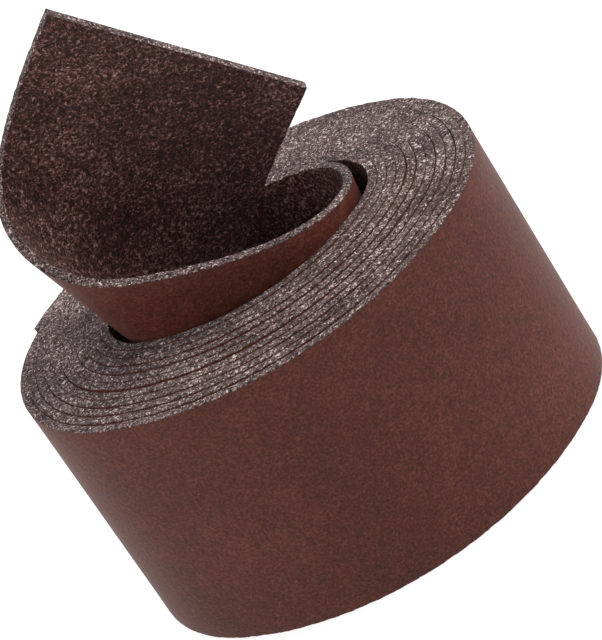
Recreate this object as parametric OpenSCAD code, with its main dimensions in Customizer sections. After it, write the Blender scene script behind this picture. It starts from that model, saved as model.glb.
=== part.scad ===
// Leather strop strip, stored as a roll.
// One straight strip of vegetable-tanned leather is wound smooth side out into an
// oval coil.  Its inner end is drawn up out of the middle, flares over the left
// end of the coil and stands as a free tongue.  The strip is one real piece: the
// nodes are lengthwise stretches of it, cut where it bends or slides in use.
// Frame: millimetres, +Z up, coil axis on Z, the roll stands on its edges at Z = 0.

/* [Strip] */
// Width of the strip, which is the height of the roll
strip_w = 50; // [40:1:60]
// Thickness of the leather
leather_t = 1.6; // [1.3:0.05:1.65]

/* [Coil] */
// Centre spacing of neighbouring turns
pitch = 1.75; // [1.67:0.04:1.83]
// Radius of the inner face at the round ends, at the innermost arc
inner_end_r = 10.5; // [9.5:0.5:11.5]
// How much larger the radius of the flat sides is than that of the round ends
side_extra = 21.2; // [18:0.2:24]
// Rise of each turn above the one outside it, where the coil has crept into a cone
turn_rise = 0.25; // [0:0.05:0.4]

/* [Inner stretch] */
// Length of the strip from the coil's innermost turn to the cut end of the tongue
inner_len = 171; // [166:1:176]
// How much further the upper corner of the cut end reaches than the lower one
cut_skew = 9; // [0:1:12]
// Distance along the strip where the loop ends and the bend over the coil begins
loop_len = 72; // [60:2:80]
// Distance along the strip where the bend ends and the free tongue begins
bend_len = 126; // [114:2:134]

/* [Hidden] */
turns = 11;
grain_colour = "#6b3a2e";
$fn = 180;

// The coil is a chain of quarter arcs, tangent where they meet, and each arc's
// radius is a quarter pitch more than the last.  Even arcs are the round ends and
// odd arcs the flat sides.  The chain is drawn with its joints on the X and Y
// axes, and then turned so that the coil's long way lies along X.
quarter = 90;
coil_turn_deg = 45;
last_arc = 4 * turns - 1;
function is_end(k) = k % 2 == 0;
function arc_start(k) = quarter * (k + 1);
function arc_r(k) = inner_end_r + (is_end(k) ? 0 : side_extra) + pitch * k / 4;
function joint_dir(k) = [cos(arc_start(k)), sin(arc_start(k))];
function arc_c(k) = k == 0 ? [-side_extra / 2, side_extra / 2]
    : arc_c(k - 1) + (arc_r(k - 1) - arc_r(k)) * joint_dir(k);

// The four outermost arcs reach furthest, each along one axis of the turned coil.
// The origin lies midway between them, so the roll is centred on it.
function spin45(v) = [(v[0] - v[1]) / sqrt(2), (v[0] + v[1]) / sqrt(2)];
function middle(k) = spin45(arc_c(k));
function reach(k) = arc_r(k) + leather_t;
left_arc = last_arc - 3;
front_arc = last_arc - 2;
right_arc = last_arc - 1;
roll_centre = [(middle(right_arc)[0] + reach(right_arc) + middle(left_arc)[0] - reach(left_arc)) / 2,
               (middle(last_arc)[1] + reach(last_arc) + middle(front_arc)[1] - reach(front_arc)) / 2];

module coil_arc(k) {
    translate(concat(arc_c(k), 0)) rotate([0, 0, arc_start(k)])
        rotate_extrude(angle = quarter)
            translate([arc_r(k), 0]) square([leather_t, strip_w]);
}

module coil_arcs(first, last, rise) {
    color(grain_colour) translate([-roll_centre[0], -roll_centre[1], rise])
        rotate([0, 0, coil_turn_deg]) for (k = [first : last]) coil_arc(k);
}

// Turn n counts inwards from the outside of the roll.  The last arc of the
// outermost turn is the strip's outer end, which peels off the roll.
module coil_turn(n) {
    first = 4 * (turns - n);
    coil_arcs(first, min(first + 3, last_arc - 1), turn_rise * (n - 1));
}

module outer_end() { coil_arcs(last_arc, last_arc, 0); }

// The inner stretch is the same straight strip bent along straight ruling lines.
// bend is its curvature in 1/m and lean the slope of the ruling line along the
// strip, both at evenly spaced stations from the coil to the cut end, with
// straight-line change between them.
bend = [29.2, 37.1, 28.7, 90.2, 61.7, 8.2, 49.9, 74.6, 17.9, 12.8, 1.4];
lean = [0, 0.01, 0.14, 0.09, 0.3, 0.72, 0.57, 0.68, 0.52, 0.27, 0.36];
rad_deg = 180 / PI;
stations = len(bend) - 1;
function along(values, s) = let (p = s * stations / inner_len, i = min(floor(p), stations - 1))
    values[i] + (values[i + 1] - values[i]) * (p - i);

// A frame is [centre, along, inward, up].  It turns about the ruling line.
function turned(v, axis, a) = v * cos(a) + cross(axis, v) * sin(a) + axis * (axis * v) * (1 - cos(a));
function ruling(frame, s) = frame[3] + along(lean, s) * frame[1];
function moved(frame, s, step) =
    let (r = ruling(frame, s + step / 2), n = norm(r), axis = r / n,
         a = -along(bend, s + step / 2) / 1000 * n * step * rad_deg,
         half = turned(frame[1], axis, a / 2))
    [frame[0] + half * step, turned(frame[1], axis, a), turned(frame[2], axis, a),
     turned(frame[3], axis, a)];

// The inner stretch carries on from the inner end of the innermost turn.
step = 2;
start_xy = spin45(arc_c(0) + [0, inner_end_r + leather_t / 2]) - roll_centre;
start_frame = [concat(start_xy, turns * turn_rise + strip_w / 2),
               concat(spin45([1, 0]), 0), concat(spin45([0, -1]), 0), [0, 0, 1]];
frames = [for (s = 0, f = start_frame; s <= inner_len; f = moved(f, s, step), s = s + step) f];

// One cross-section of the strip on the ruling line at distance s.
function section(s) =
    let (f = frames[round(s / step)], r = ruling(f, s) * strip_w / 2, n = f[2] * leather_t / 2)
    [f[0] - r - n, f[0] + r - n, f[0] + r + n, f[0] - r + n];
// The cut end, where the strip beyond the ruling at s is flat.
function cut_section(s) =
    let (f = frames[round(s / step)], n = f[2] * leather_t / 2, up = f[3] * strip_w / 2,
         far = f[1] * (inner_len - s), skew = f[1] * cut_skew / 2)
    [f[0] + far - skew - up - n, f[0] + far + skew + up - n,
     f[0] + far + skew + up + n, f[0] + far - skew - up + n];

module ribbon(sections) {
    last = len(sections) - 1;
    sides = [for (i = [0 : last - 1], j = [0 : 3])
        let (a = 4 * i + j, b = 4 * i + (j + 1) % 4) each [[a, b + 4, b], [a, a + 4, b + 4]]];
    ends = [[0, 1, 2], [0, 2, 3], [4 * last + 2, 4 * last + 1, 4 * last],
            [4 * last + 3, 4 * last + 2, 4 * last]];
    color(grain_colour)
        polyhedron([for (s = sections) each s], concat(sides, ends));
}

module inner_loop() { ribbon([for (s = [0 : step : loop_len]) section(s)]); }
module left_bend() { ribbon([for (s = [loop_len : step : bend_len]) section(s)]); }
// The tongue starts a hair past the bend, so that it can flex without overlapping it.
hinge_gap = 0.3;
last_ruling = 162;
module tongue() {
    set_off = hinge_gap * frames[bend_len / step][1];
    hinge_end = [for (p = section(bend_len)) p + set_off];
    ribbon([hinge_end, for (s = [bend_len + step : step : last_ruling]) section(s),
            cut_section(last_ruling)]);
}

for (n = [1 : turns]) coil_turn(n);
outer_end();
inner_loop();
left_bend();
tongue();
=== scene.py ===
import math
import bpy
import numpy as np
from mathutils import Matrix, Vector


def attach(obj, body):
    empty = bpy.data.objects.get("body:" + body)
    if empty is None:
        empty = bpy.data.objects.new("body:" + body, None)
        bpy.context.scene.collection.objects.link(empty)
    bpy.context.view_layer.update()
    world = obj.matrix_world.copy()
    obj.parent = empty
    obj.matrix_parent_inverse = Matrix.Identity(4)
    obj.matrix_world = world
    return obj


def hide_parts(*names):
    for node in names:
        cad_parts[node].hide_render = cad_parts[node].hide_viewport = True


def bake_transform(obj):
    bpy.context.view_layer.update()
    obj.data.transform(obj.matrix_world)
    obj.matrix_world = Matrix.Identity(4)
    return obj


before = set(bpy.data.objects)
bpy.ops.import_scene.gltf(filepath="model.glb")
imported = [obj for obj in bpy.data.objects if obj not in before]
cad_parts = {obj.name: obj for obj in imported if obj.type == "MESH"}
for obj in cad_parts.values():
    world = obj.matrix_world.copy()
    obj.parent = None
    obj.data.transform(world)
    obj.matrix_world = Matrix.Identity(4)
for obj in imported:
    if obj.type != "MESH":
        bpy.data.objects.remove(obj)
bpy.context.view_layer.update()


# ---- Camera -------------------------------------------------------------------
# A long lens looks down on the roll from the front.  The picture is turned, so
# that the roll leans to the left in it.
IMAGE_W, IMAGE_H = 602, 640
CAMERA_DISTANCE = 0.70
CAMERA_TILT = math.radians(29.82)
CAMERA_ROLL = math.radians(-33.00)
AIM = Vector((0.00264, 0.01603, 0.025))
FOCAL_IN_WIDTHS = 6.523

forward = Vector((0.0, math.cos(CAMERA_TILT), -math.sin(CAMERA_TILT)))
level_right = Vector((1.0, 0.0, 0.0))
level_up = level_right.cross(forward)
right = math.cos(CAMERA_ROLL) * level_right + math.sin(CAMERA_ROLL) * level_up
up = right.cross(forward)
camera_data = bpy.data.cameras.new("camera")
camera_data.sensor_fit = "HORIZONTAL"
camera_data.sensor_width = 36.0
camera_data.lens = FOCAL_IN_WIDTHS * camera_data.sensor_width
camera_data.clip_end = 20.0
camera = bpy.data.objects.new("camera", camera_data)
camera.matrix_world = Matrix.Translation(AIM - forward * CAMERA_DISTANCE) @ Matrix(
    (right, up, -forward)).transposed().to_4x4()
bpy.context.scene.collection.objects.link(camera)
bpy.context.scene.camera = camera


# ---- The leather strip --------------------------------------------------------
# One straight strip cut from a single hide and rolled up smooth side out.  Every
# stretch of it is the same closed ribbon: grain side, two raw cut edges and the
# suede flesh side, carried along its own middle line.
STRIP_W = 0.050
LEATHER_T = 0.0016
PITCH = 0.00175
TURNS = 11
INNER_END_R = 0.0105
SIDE_EXTRA = 0.0212
TURN_RISE = 0.00025
ALONG_STEP = 0.0004
FACE_ROWS = 14
EDGE_ROWS = 9
CORNER_STEPS = 2
EDGE_ROUND = 0.00014
BURR = 0.00005
TUFT_HEIGHT, TUFT_LENGTH, FIBRE_LENGTH = 0.00010, 0.0011, 0.00045
FRAYED_BAND = 0.0006
END_BAND = 0.0008
BURR_LENGTH = 0.0007
BURR_FROM = 0.985
LAST_ARC = 4 * TURNS - 1


def lattice(seed, u, v):
    """One even random number from 0 to 1 for every whole-number pair u, v."""
    h = (u.astype(np.int64) * 374761393 + v.astype(np.int64) * 668265263 + seed * 362437) & 0xFFFFFFFF
    h = ((h ^ (h >> 13)) * 1274126177) & 0xFFFFFFFF
    return ((h ^ (h >> 16)) & 0xFFFF) / 65535.0


def noise(seed, u, v):
    """Smooth noise from -1 to 1: lattice values blended across each cell by a smoothstep."""
    iu, iv = np.floor(u), np.floor(v)
    fu, fv = u - iu, v - iv
    fu, fv = fu * fu * (3 - 2 * fu), fv * fv * (3 - 2 * fv)
    low = lattice(seed, iu, iv) * (1 - fu) + lattice(seed, iu + 1, iv) * fu
    high = lattice(seed, iu, iv + 1) * (1 - fu) + lattice(seed, iu + 1, iv + 1) * fu
    return 2 * (low * (1 - fv) + high * fv) - 1


def ribbon_profile():
    """Closed outline of the strip's cross-section as (depth, height, side): depth runs from 0 on
    the grain face to 1 on the flesh face, height from -1/2 to 1/2, and side is 0 grain, 1 cut
    edge, 2 flesh.  Each corner is a quarter circle of EDGE_ROUND."""
    corner, drop = EDGE_ROUND / LEATHER_T, EDGE_ROUND / STRIP_W
    face = np.linspace(-0.5, 0.5, FACE_ROWS) * (1 - 2 * drop)
    bend = np.linspace(0, math.pi / 2, CORNER_STEPS + 1)[1:]
    flat = np.linspace(corner, 1 - corner, EDGE_ROWS)[1:-1]
    leaving = corner * (1 - np.cos(bend))
    depth_edge = np.concatenate([leaving, flat, 1 - leaving[::-1]])
    top = 0.5 + np.concatenate([drop * (np.sin(bend) - 1), 0 * flat, drop * (np.sin(bend[::-1]) - 1)])
    depth = np.concatenate([0 * face, depth_edge, 0 * face + 1, depth_edge[::-1]])
    height = np.concatenate([face, top, face[::-1], -top[::-1]])
    edge_side = np.ones(len(depth_edge) + 1)
    side = np.concatenate([np.zeros(FACE_ROWS - 1), edge_side, np.full(FACE_ROWS - 1, 2), edge_side])
    return depth, height, side.astype(int)


def ribbon(name, place, start, length, seed):
    """Closed ribbon from distance start on, length long.  place(s, height) gives each point of the
    middle surface, the inward normal and the upward line there, for arrays of distance along the
    strip and height across it.  Raw edges get fibre-sized bumps, and the two ends flat caps."""
    depth, height, side = ribbon_profile()
    count = max(int(round(length / ALONG_STEP)), 8)
    s = start + np.linspace(0, length, count + 1)
    s_grid, h_grid = np.meshgrid(s, height * STRIP_W, indexing="ij")
    d_grid = np.broadcast_to(depth, s_grid.shape)
    middle, inward, upward = place(s_grid, h_grid)
    which_edge = np.sign(h_grid)
    fluff = (0.6 * noise(seed, s_grid / TUFT_LENGTH, d_grid * 2.0 + 3 * which_edge)
             + 0.5 * noise(seed + 1, s_grid / FIBRE_LENGTH, d_grid * 4.5 + 7 * which_edge))
    on_edge = np.clip((np.abs(h_grid) - (STRIP_W / 2 - FRAYED_BAND)) / FRAYED_BAND, 0, 1)
    end_fade = np.clip(np.minimum(s_grid - start, start + length - s_grid) / END_BAND, 0, 1)
    fluff = fluff * on_edge * end_fade * TUFT_HEIGHT
    burred = np.clip(np.abs(h_grid) / STRIP_W * 2 - BURR_FROM, 0, 1) / (1 - BURR_FROM)
    burr = BURR * (1 + 0.8 * noise(seed + 2, s_grid / BURR_LENGTH, 9 * d_grid) * end_fade)
    points = (middle + inward * ((d_grid - 0.5) * LEATHER_T
                                 + burr * burred * np.sign(d_grid - 0.5))[..., None]
              + upward * (fluff * which_edge)[..., None])
    rows, cols = s_grid.shape
    i, j = np.meshgrid(np.arange(rows - 1), np.arange(cols), indexing="ij")
    k = (j + 1) % cols
    quads = np.stack([i * cols + j, (i + 1) * cols + j, (i + 1) * cols + k, i * cols + k], -1)
    quads = quads.reshape(-1, 4)
    quad_side = np.broadcast_to(side[:cols], (rows - 1, cols)).reshape(-1)
    mesh = bpy.data.meshes.new(name)
    faces = quads.tolist() + [list(range(cols)), list(range((rows - 1) * cols, rows * cols))[::-1]]
    mesh.from_pydata(points.reshape(-1, 3), [], faces)
    material = np.append(quad_side, [1, 1])
    mesh.polygons.foreach_set("material_index", material.astype(np.int32))
    mesh.polygons.foreach_set("use_smooth", np.ones(len(faces), dtype=bool))
    # The strip's own flat plan: u is the distance along it and v the way round its section.
    girth = np.concatenate([[0], np.cumsum(np.hypot(np.diff(depth) * LEATHER_T,
                                                    np.diff(height) * STRIP_W))])
    loop_vertex = np.zeros(len(mesh.loops), dtype=np.int32)
    mesh.loops.foreach_get("vertex_index", loop_vertex)
    column = loop_vertex % cols
    u = s[loop_vertex // cols]
    v = girth[column]
    closing = np.zeros(len(mesh.loops), dtype=bool)
    wrap = np.flatnonzero(np.broadcast_to(np.arange(cols) == cols - 1, (rows - 1, cols)).reshape(-1))
    closing[(wrap[:, None] * 4 + np.arange(4)).reshape(-1)] = True
    v = np.where(closing & (column == 0), girth[-1] + EDGE_ROUND, v)
    uv = mesh.uv_layers.new(name="strip")
    uv.data.foreach_set("uv", np.stack([u, v], -1).astype(np.float32).reshape(-1))
    # The two end rings are creased, so that neighbouring stretches meet without a rounded seam.
    rings = np.zeros(len(mesh.edges) * 2, dtype=np.int32)
    mesh.edges.foreach_get("vertices", rings)
    at_end = (rings // cols == 0) | (rings // cols == rows - 1)
    creased = at_end.reshape(-1, 2).all(1)
    mesh.attributes.new("sharp_edge", "BOOLEAN", "EDGE").data.foreach_set("value", creased)
    piece = bpy.data.objects.new(name, mesh)
    bpy.context.scene.collection.objects.link(piece)
    return piece


# ---- The wound coil -----------------------------------------------------------
# Eleven turns of the strip, hand rolled into an oval with its smooth side out.
# Only stiffness and the friction between the turns hold it, so each turn has
# crept a little above the one around it.
GAP_WAVE = 0.00007
LIFT_WAVE = 0.00012


def is_end(k):
    return k % 2 == 0


def arc_angle(k):
    return math.radians(90 * (k + 1))


def arc_radius(k):
    return INNER_END_R + (0 if is_end(k) else SIDE_EXTRA) + PITCH * k / 4


arc_centres = [np.array([-SIDE_EXTRA / 2, SIDE_EXTRA / 2])]
for k in range(1, LAST_ARC + 1):
    joint = np.array([math.cos(arc_angle(k)), math.sin(arc_angle(k))])
    arc_centres.append(arc_centres[-1] + (arc_radius(k - 1) - arc_radius(k)) * joint)
arc_middle_r = np.array([arc_radius(k) + LEATHER_T / 2 for k in range(LAST_ARC + 1)])
arc_lengths = arc_middle_r * math.pi / 2
arc_starts = np.concatenate([[0], np.cumsum(arc_lengths)])


def spin45(v):
    return np.stack([v[..., 0] - v[..., 1], v[..., 0] + v[..., 1]], -1) / math.sqrt(2)


def reach(k):
    return arc_radius(k) + LEATHER_T


turned_centres = spin45(np.array(arc_centres))
ROLL_CENTRE = np.array([
    (turned_centres[-2][0] + reach(LAST_ARC - 1) + turned_centres[-4][0] - reach(LAST_ARC - 3)) / 2,
    (turned_centres[-1][1] + reach(LAST_ARC) + turned_centres[-3][1] - reach(LAST_ARC - 2)) / 2])


def coil_place(s, height):
    """Middle surface of the coil: a chain of tangent quarter arcs whose radius grows by a quarter
    pitch each, lifted in a cone, with slow waves that open and close the gaps between turns."""
    k = np.clip(np.searchsorted(arc_starts, s, side="right") - 1, 0, LAST_ARC)
    share = (s - arc_starts[k]) / arc_lengths[k]
    angle = np.radians(90.0) * (k + 1 + share) + math.radians(45)
    out = np.stack([np.cos(angle), np.sin(angle)], -1)
    turn = (k + share) / 4
    gap_wave = GAP_WAVE * noise(11, turn * 5, 0 * turn) * np.clip((TURNS - turn) * 4, 0, 1)
    radius = arc_middle_r[k] + gap_wave
    flat = turned_centres[k] - ROLL_CENTRE + out * radius[..., None]
    climb = np.clip((turn - np.floor(turn)) / 0.5, 0, 1)
    climb = climb * climb * (3 - 2 * climb)
    lift = TURN_RISE * (TURNS - np.floor(turn) - climb) + LIFT_WAVE * (1 + noise(12, turn * 3, 0 * turn))
    lift = np.where(turn > TURNS - 1, np.minimum(lift, TURN_RISE), lift)
    z = STRIP_W / 2 + lift + height
    middle = np.concatenate([flat, z[..., None]], -1)
    inward = np.concatenate([-out, 0 * z[..., None]], -1)
    upward = np.zeros_like(middle)
    upward[..., 2] = 1.0
    return middle, inward, upward


half_turns = []
for turn in range(TURNS):
    for half in range(2):
        first = 4 * turn + 2 * half
        number = TURNS - turn
        name = f"coil_{number:02d}_{'front' if half == 0 else 'back'}"
        start = arc_starts[first]
        piece = ribbon(name, coil_place, start, arc_starts[first + 2] - start, 100 + first)
        half_turns.append((piece, number, half))


# ---- The inner stretch --------------------------------------------------------
# The strip's inner end, drawn up out of the middle of the coil: a loop that
# still lines the hollow, a bend that flares over the left end of the coil, and
# the free tongue with its hand-cut end.
INNER_LENGTH = 0.171
CUT_SKEW = 0.009
LAST_RULING = 0.162
FRAME_STEP = 0.001
BEND = np.array([29.2, 37.1, 28.7, 90.2, 61.7, 8.2, 49.9, 74.6, 17.9, 12.8, 1.4])
LEAN = np.array([0, 0.01, 0.14, 0.09, 0.3, 0.72, 0.57, 0.68, 0.52, 0.27, 0.36])
stations = np.linspace(0, INNER_LENGTH, len(BEND))


def turned(v, axis, angle):
    """v turned about a unit axis: Rodrigues' formula."""
    return (v * math.cos(angle) + np.cross(axis, v) * math.sin(angle)
            + axis * (axis @ v) * (1 - math.cos(angle)))


start_flat = spin45(arc_centres[0] + np.array([0, INNER_END_R + LEATHER_T / 2])) - ROLL_CENTRE
centre = np.array([*start_flat, TURNS * TURN_RISE + STRIP_W / 2])
along = np.array([1, 1, 0]) / math.sqrt(2)
inward = np.array([1, -1, 0]) / math.sqrt(2)
upward = np.array([0.0, 0.0, 1.0])
inner_frames = []
for step in range(int(round(INNER_LENGTH / FRAME_STEP)) + 1):
    inner_frames.append([centre, along, inward, upward])
    s = (step + 0.5) * FRAME_STEP
    ruling = upward + np.interp(s, stations, LEAN) * along
    size = np.linalg.norm(ruling)
    angle = -np.interp(s, stations, BEND) * size * FRAME_STEP
    axis = ruling / size
    centre = centre + turned(along, axis, angle / 2) * FRAME_STEP
    along, inward, upward = (turned(v, axis, angle) for v in (along, inward, upward))
inner_frames = np.array(inner_frames)
frame_s = np.arange(len(inner_frames)) * FRAME_STEP


def inner_place(s, height):
    """Middle surface of the inner stretch: a flat strip bent along straight ruling lines.  The
    ruling through distance s rises by height and runs along the strip by lean times height; past
    the last ruling the strip is flat, and there s is stretched to meet the slanting cut."""
    flat_part = np.clip((s - LAST_RULING) / (INNER_LENGTH - LAST_RULING), 0, 1)
    at = np.minimum(s, LAST_RULING)
    frames = [[np.interp(at, frame_s, inner_frames[:, part, axis]) for axis in range(3)]
              for part in range(4)]
    centre, along, inward, upward = (np.stack(part, -1) for part in frames)
    lean = np.interp(at, stations, LEAN) * (1 - flat_part)
    past = flat_part * (INNER_LENGTH - LAST_RULING + CUT_SKEW * height / STRIP_W)
    middle = centre + upward * height[..., None] + along * (lean * height + past)[..., None]
    return middle, inward, upward


LOOP_END = 0.072
TONGUE_START = 0.106
inner_pieces = []
for name, start, end, seed in (("inner_loop_leather", 0.0, LOOP_END, 301),
                               ("left_bend_leather", LOOP_END, TONGUE_START, 302),
                               ("tongue_leather", TONGUE_START, INNER_LENGTH, 303)):
    inner_pieces.append(ribbon(name, inner_place, start, end - start, seed))
inner_loop, left_bend, tongue = inner_pieces


# ---- Leather finishes ---------------------------------------------------------
# Drum-dyed brown leather with a lightly polished, finely pebbled grain, a
# napped flesh side in a darker brown, and raw cut edges where pale fibres stand
# out of the dyed body.


class Socket:
    """A shader value: arithmetic on it adds Math nodes."""

    def __init__(self, tree, output):
        self.tree, self.output = tree, output

    def maths(self, operation, other):
        node = self.tree.nodes.new("ShaderNodeMath")
        node.operation = operation
        for index, value in enumerate((self, other)):
            if isinstance(value, Socket):
                self.tree.links.new(value.output, node.inputs[index])
            else:
                node.inputs[index].default_value = value
        return Socket(self.tree, node.outputs[0])

    def __add__(self, other):
        return self.maths("ADD", other)

    def __mul__(self, other):
        return self.maths("MULTIPLY", other)

    __radd__, __rmul__ = __add__, __mul__


class Finish:
    """A material with one Principled surface, and a method that adds any other node."""

    def __init__(self, name):
        self.material = bpy.data.materials.new(name)
        self.material.use_nodes = True
        self.tree = self.material.node_tree
        self.surface = self.tree.nodes["Principled BSDF"]

    def node(self, kind, settings=None, values=None, output=0):
        node = self.tree.nodes.new("ShaderNode" + kind)
        settings = dict(settings or {})
        stops = settings.pop("stops", None)
        for key, value in settings.items():
            setattr(node, key, value)
        if stops:
            ramp = node.color_ramp
            while len(ramp.elements) < len(stops):
                ramp.elements.new(0.5)
            for element, (position, colour) in zip(ramp.elements, stops):
                element.position, element.color = position, (*colour, 1)
        for key, value in (values or {}).items():
            if isinstance(value, Socket):
                self.tree.links.new(value.output, node.inputs[key])
            else:
                node.inputs[key].default_value = value
        return Socket(self.tree, node.outputs[output])

    def feed(self, name, value):
        if isinstance(value, Socket):
            self.tree.links.new(value.output, self.surface.inputs[name])
        else:
            self.surface.inputs[name].default_value = value

    def noise(self, where, scale, detail=3.0, rough=0.55):
        return self.node("TexNoise", None, {"Vector": where, "Scale": scale, "Detail": detail,
                                            "Roughness": rough})


def grain_finish():
    leather = Finish("grain_side")
    where = leather.node("TexCoord", output=3)
    cloud = leather.noise(where, 38.0, 4.0)
    mottle = leather.noise(where, 420.0, 3.0, 0.6)
    speck = leather.noise(where, 2100.0, 2.0, 0.6)
    tone = cloud * 0.18 + mottle * 0.22 + speck * 0.65
    colour = leather.node("ValToRGB", {"stops": [
        (0.38, (0.034, 0.0058, 0.0030)), (0.53, (0.066, 0.0130, 0.0070)),
        (0.68, (0.112, 0.031, 0.0195))]}, {"Fac": tone})
    leather.feed("Base Color", colour)
    leather.feed("Roughness", 0.50 + mottle * 0.16)
    pebble = leather.node("TexVoronoi", {"feature": "SMOOTH_F1"},
                          {"Vector": where, "Scale": 1250.0, "Smoothness": 0.8})
    bumps = pebble * 0.6 + mottle * 0.5 + speck * 0.35
    leather.feed("Normal", leather.node("Bump", None, {"Height": bumps, "Strength": 0.30,
                                                       "Distance": 0.0003}))
    leather.surface.inputs["Specular IOR Level"].default_value = 0.22
    leather.surface.inputs["Sheen Weight"].default_value = 0.05
    leather.surface.inputs["Sheen Roughness"].default_value = 0.35
    leather.surface.inputs["Sheen Tint"].default_value = (1.0, 0.80, 0.74, 1)
    return leather.material


def flesh_finish():
    suede = Finish("flesh_side")
    where = suede.node("TexCoord", output=3)
    cloud = suede.noise(where, 60.0, 4.0)
    bent = suede.node("VectorMath", {"operation": "ADD"}, {0: where, 1: suede.node(
        "VectorMath", {"operation": "SCALE"},
        {0: suede.node("TexNoise", None, {"Vector": where, "Scale": 500.0}, output=1),
         "Scale": 0.0016})})
    nap = suede.noise(bent, 1400.0, 4.0, 0.7)
    speck = suede.noise(bent, 2600.0, 2.0, 0.6)
    tone = cloud * 0.16 + nap * 0.56 + speck * 0.40
    colour = suede.node("ValToRGB", {"stops": [
        (0.46, (0.0060, 0.0012, 0.0010)), (0.54, (0.027, 0.0068, 0.0056)),
        (0.61, (0.100, 0.036, 0.031)), (0.69, (0.34, 0.20, 0.19))]}, {"Fac": tone})
    suede.feed("Base Color", colour)
    suede.feed("Roughness", 0.95)
    suede.feed("Normal", suede.node("Bump", None, {"Height": nap + speck * 0.6, "Strength": 0.8,
                                                   "Distance": 0.0005}))
    suede.surface.inputs["Specular IOR Level"].default_value = 0.15
    suede.surface.inputs["Sheen Weight"].default_value = 0.08
    suede.surface.inputs["Sheen Roughness"].default_value = 0.6
    suede.surface.inputs["Sheen Tint"].default_value = (1.0, 0.85, 0.80, 1)
    return suede.material


def edge_finish():
    raw = Finish("cut_edge")
    where = raw.node("TexCoord", output=3)
    bent = raw.node("VectorMath", {"operation": "ADD"}, {0: where, 1: raw.node(
        "VectorMath", {"operation": "SCALE"},
        {0: raw.node("TexNoise", None, {"Vector": where, "Scale": 900.0}, output=1),
         "Scale": 0.0010})})
    fibre = raw.noise(bent, 1500.0, 4.0, 0.75)
    fleck = raw.noise(bent, 2900.0, 1.0, 0.5)
    cloud = raw.noise(where, 140.0, 2.0)
    tone = fibre * 0.55 + fleck * 0.45 + cloud * 0.12
    colour = raw.node("ValToRGB", {"stops": [
        (0.46, (0.007, 0.0035, 0.0035)), (0.55, (0.066, 0.038, 0.036)),
        (0.62, (0.16, 0.112, 0.106)), (0.71, (0.68, 0.56, 0.53))]}, {"Fac": tone})
    raw.feed("Base Color", colour)
    raw.feed("Roughness", 0.9)
    raw.feed("Normal", raw.node("Bump", None, {"Height": fibre + fleck, "Strength": 0.9,
                                               "Distance": 0.0004}))
    raw.surface.inputs["Specular IOR Level"].default_value = 0.2
    raw.surface.inputs["Sheen Weight"].default_value = 0.05
    return raw.material


finishes = [grain_finish(), edge_finish(), flesh_finish()]
for piece in [entry[0] for entry in half_turns] + inner_pieces:
    for finish in finishes:
        piece.data.materials.append(finish)


# ---- How the stretches are held -----------------------------------------------
# Each stretch follows its own length of the strip.  The front halves, the outer
# back half and the tongue stay fixed where they were built; the other back halves
# ride on their own turns, and the inner loop and the left bend on the core.


def coil_point(arc):
    middle, _, _ = coil_place(np.array([arc_starts[arc]]), np.array([0.0]))
    return Vector(middle[0])


coil_body = {number: f"turn_{number:02d}" for number in range(1, TURNS + 1)}
coil_body[TURNS + 1] = "core"
for piece, number, half in half_turns:
    first = 4 * (TURNS - number) + 2 * half
    arc_starts[first + 2] - arc_starts[first]
    if half == 0:
        tuple(coil_point(first))
        tuple(coil_point(first + 2))
        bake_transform(piece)
    elif number == 1:
        hinge = coil_point(LAST_ARC)
        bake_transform(piece)
    else:
        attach(piece, coil_body[number])

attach(inner_loop, "core")
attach(left_bend, "core")
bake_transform(tongue)

for piece, number, half in half_turns:
    if half == 1:
        stands_for = [f"turn_{number:02d}"] + (["outer_end"] if number == 1 else [])
        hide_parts(*stands_for)
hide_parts("inner_loop")
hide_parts("left_bend")
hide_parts("tongue")


# ---- Studio -------------------------------------------------------------------
# A white floor that glows a little and runs out of sight, an even white sky, and
# three large soft lights: one from the right that puts the sheen on the wall, a
# weaker one from the left, and one above that lights the cut edges.
FLOOR_HALF = 6.0
floor_mesh = bpy.data.meshes.new("floor")
floor_mesh.from_pydata([(-FLOOR_HALF, -FLOOR_HALF, 0), (FLOOR_HALF, -FLOOR_HALF, 0),
                        (FLOOR_HALF, FLOOR_HALF, 0), (-FLOOR_HALF, FLOOR_HALF, 0)], [], [(0, 1, 2, 3)])
floor = bpy.data.objects.new("floor", floor_mesh)
bpy.context.scene.collection.objects.link(floor)
paper = Finish("white_paper")
paper.feed("Base Color", (0.25, 0.25, 0.25, 1))
paper.feed("Roughness", 0.9)
paper.surface.inputs["Emission Color"].default_value = (1, 1, 1, 1)
paper.surface.inputs["Emission Strength"].default_value = 0.8
floor_mesh.materials.append(paper.material)

world = bpy.data.worlds.new("studio")
world.use_nodes = True
world.node_tree.nodes["Background"].inputs["Color"].default_value = (1.0, 1.0, 1.0, 1)
world.node_tree.nodes["Background"].inputs["Strength"].default_value = 0.55
bpy.context.scene.world = world
bpy.context.scene.view_settings.view_transform = "Standard"


def soft_light(name, place, size, power):
    data = bpy.data.lights.new(name, "AREA")
    data.size, data.energy = size, power
    lamp = bpy.data.objects.new(name, data)
    toward = (AIM - Vector(place)).normalized()
    lamp.matrix_world = Matrix.Translation(place) @ toward.to_track_quat("-Z", "Y").to_matrix().to_4x4()
    bpy.context.scene.collection.objects.link(lamp)


soft_light("key_light", (0.9, -0.1, 0.7), 0.6, 12.0)
soft_light("left_light", (-0.9, -0.2, 0.5), 0.5, 5.0)
soft_light("top_light", (0.0, 0.3, 1.2), 0.9, 8.0)
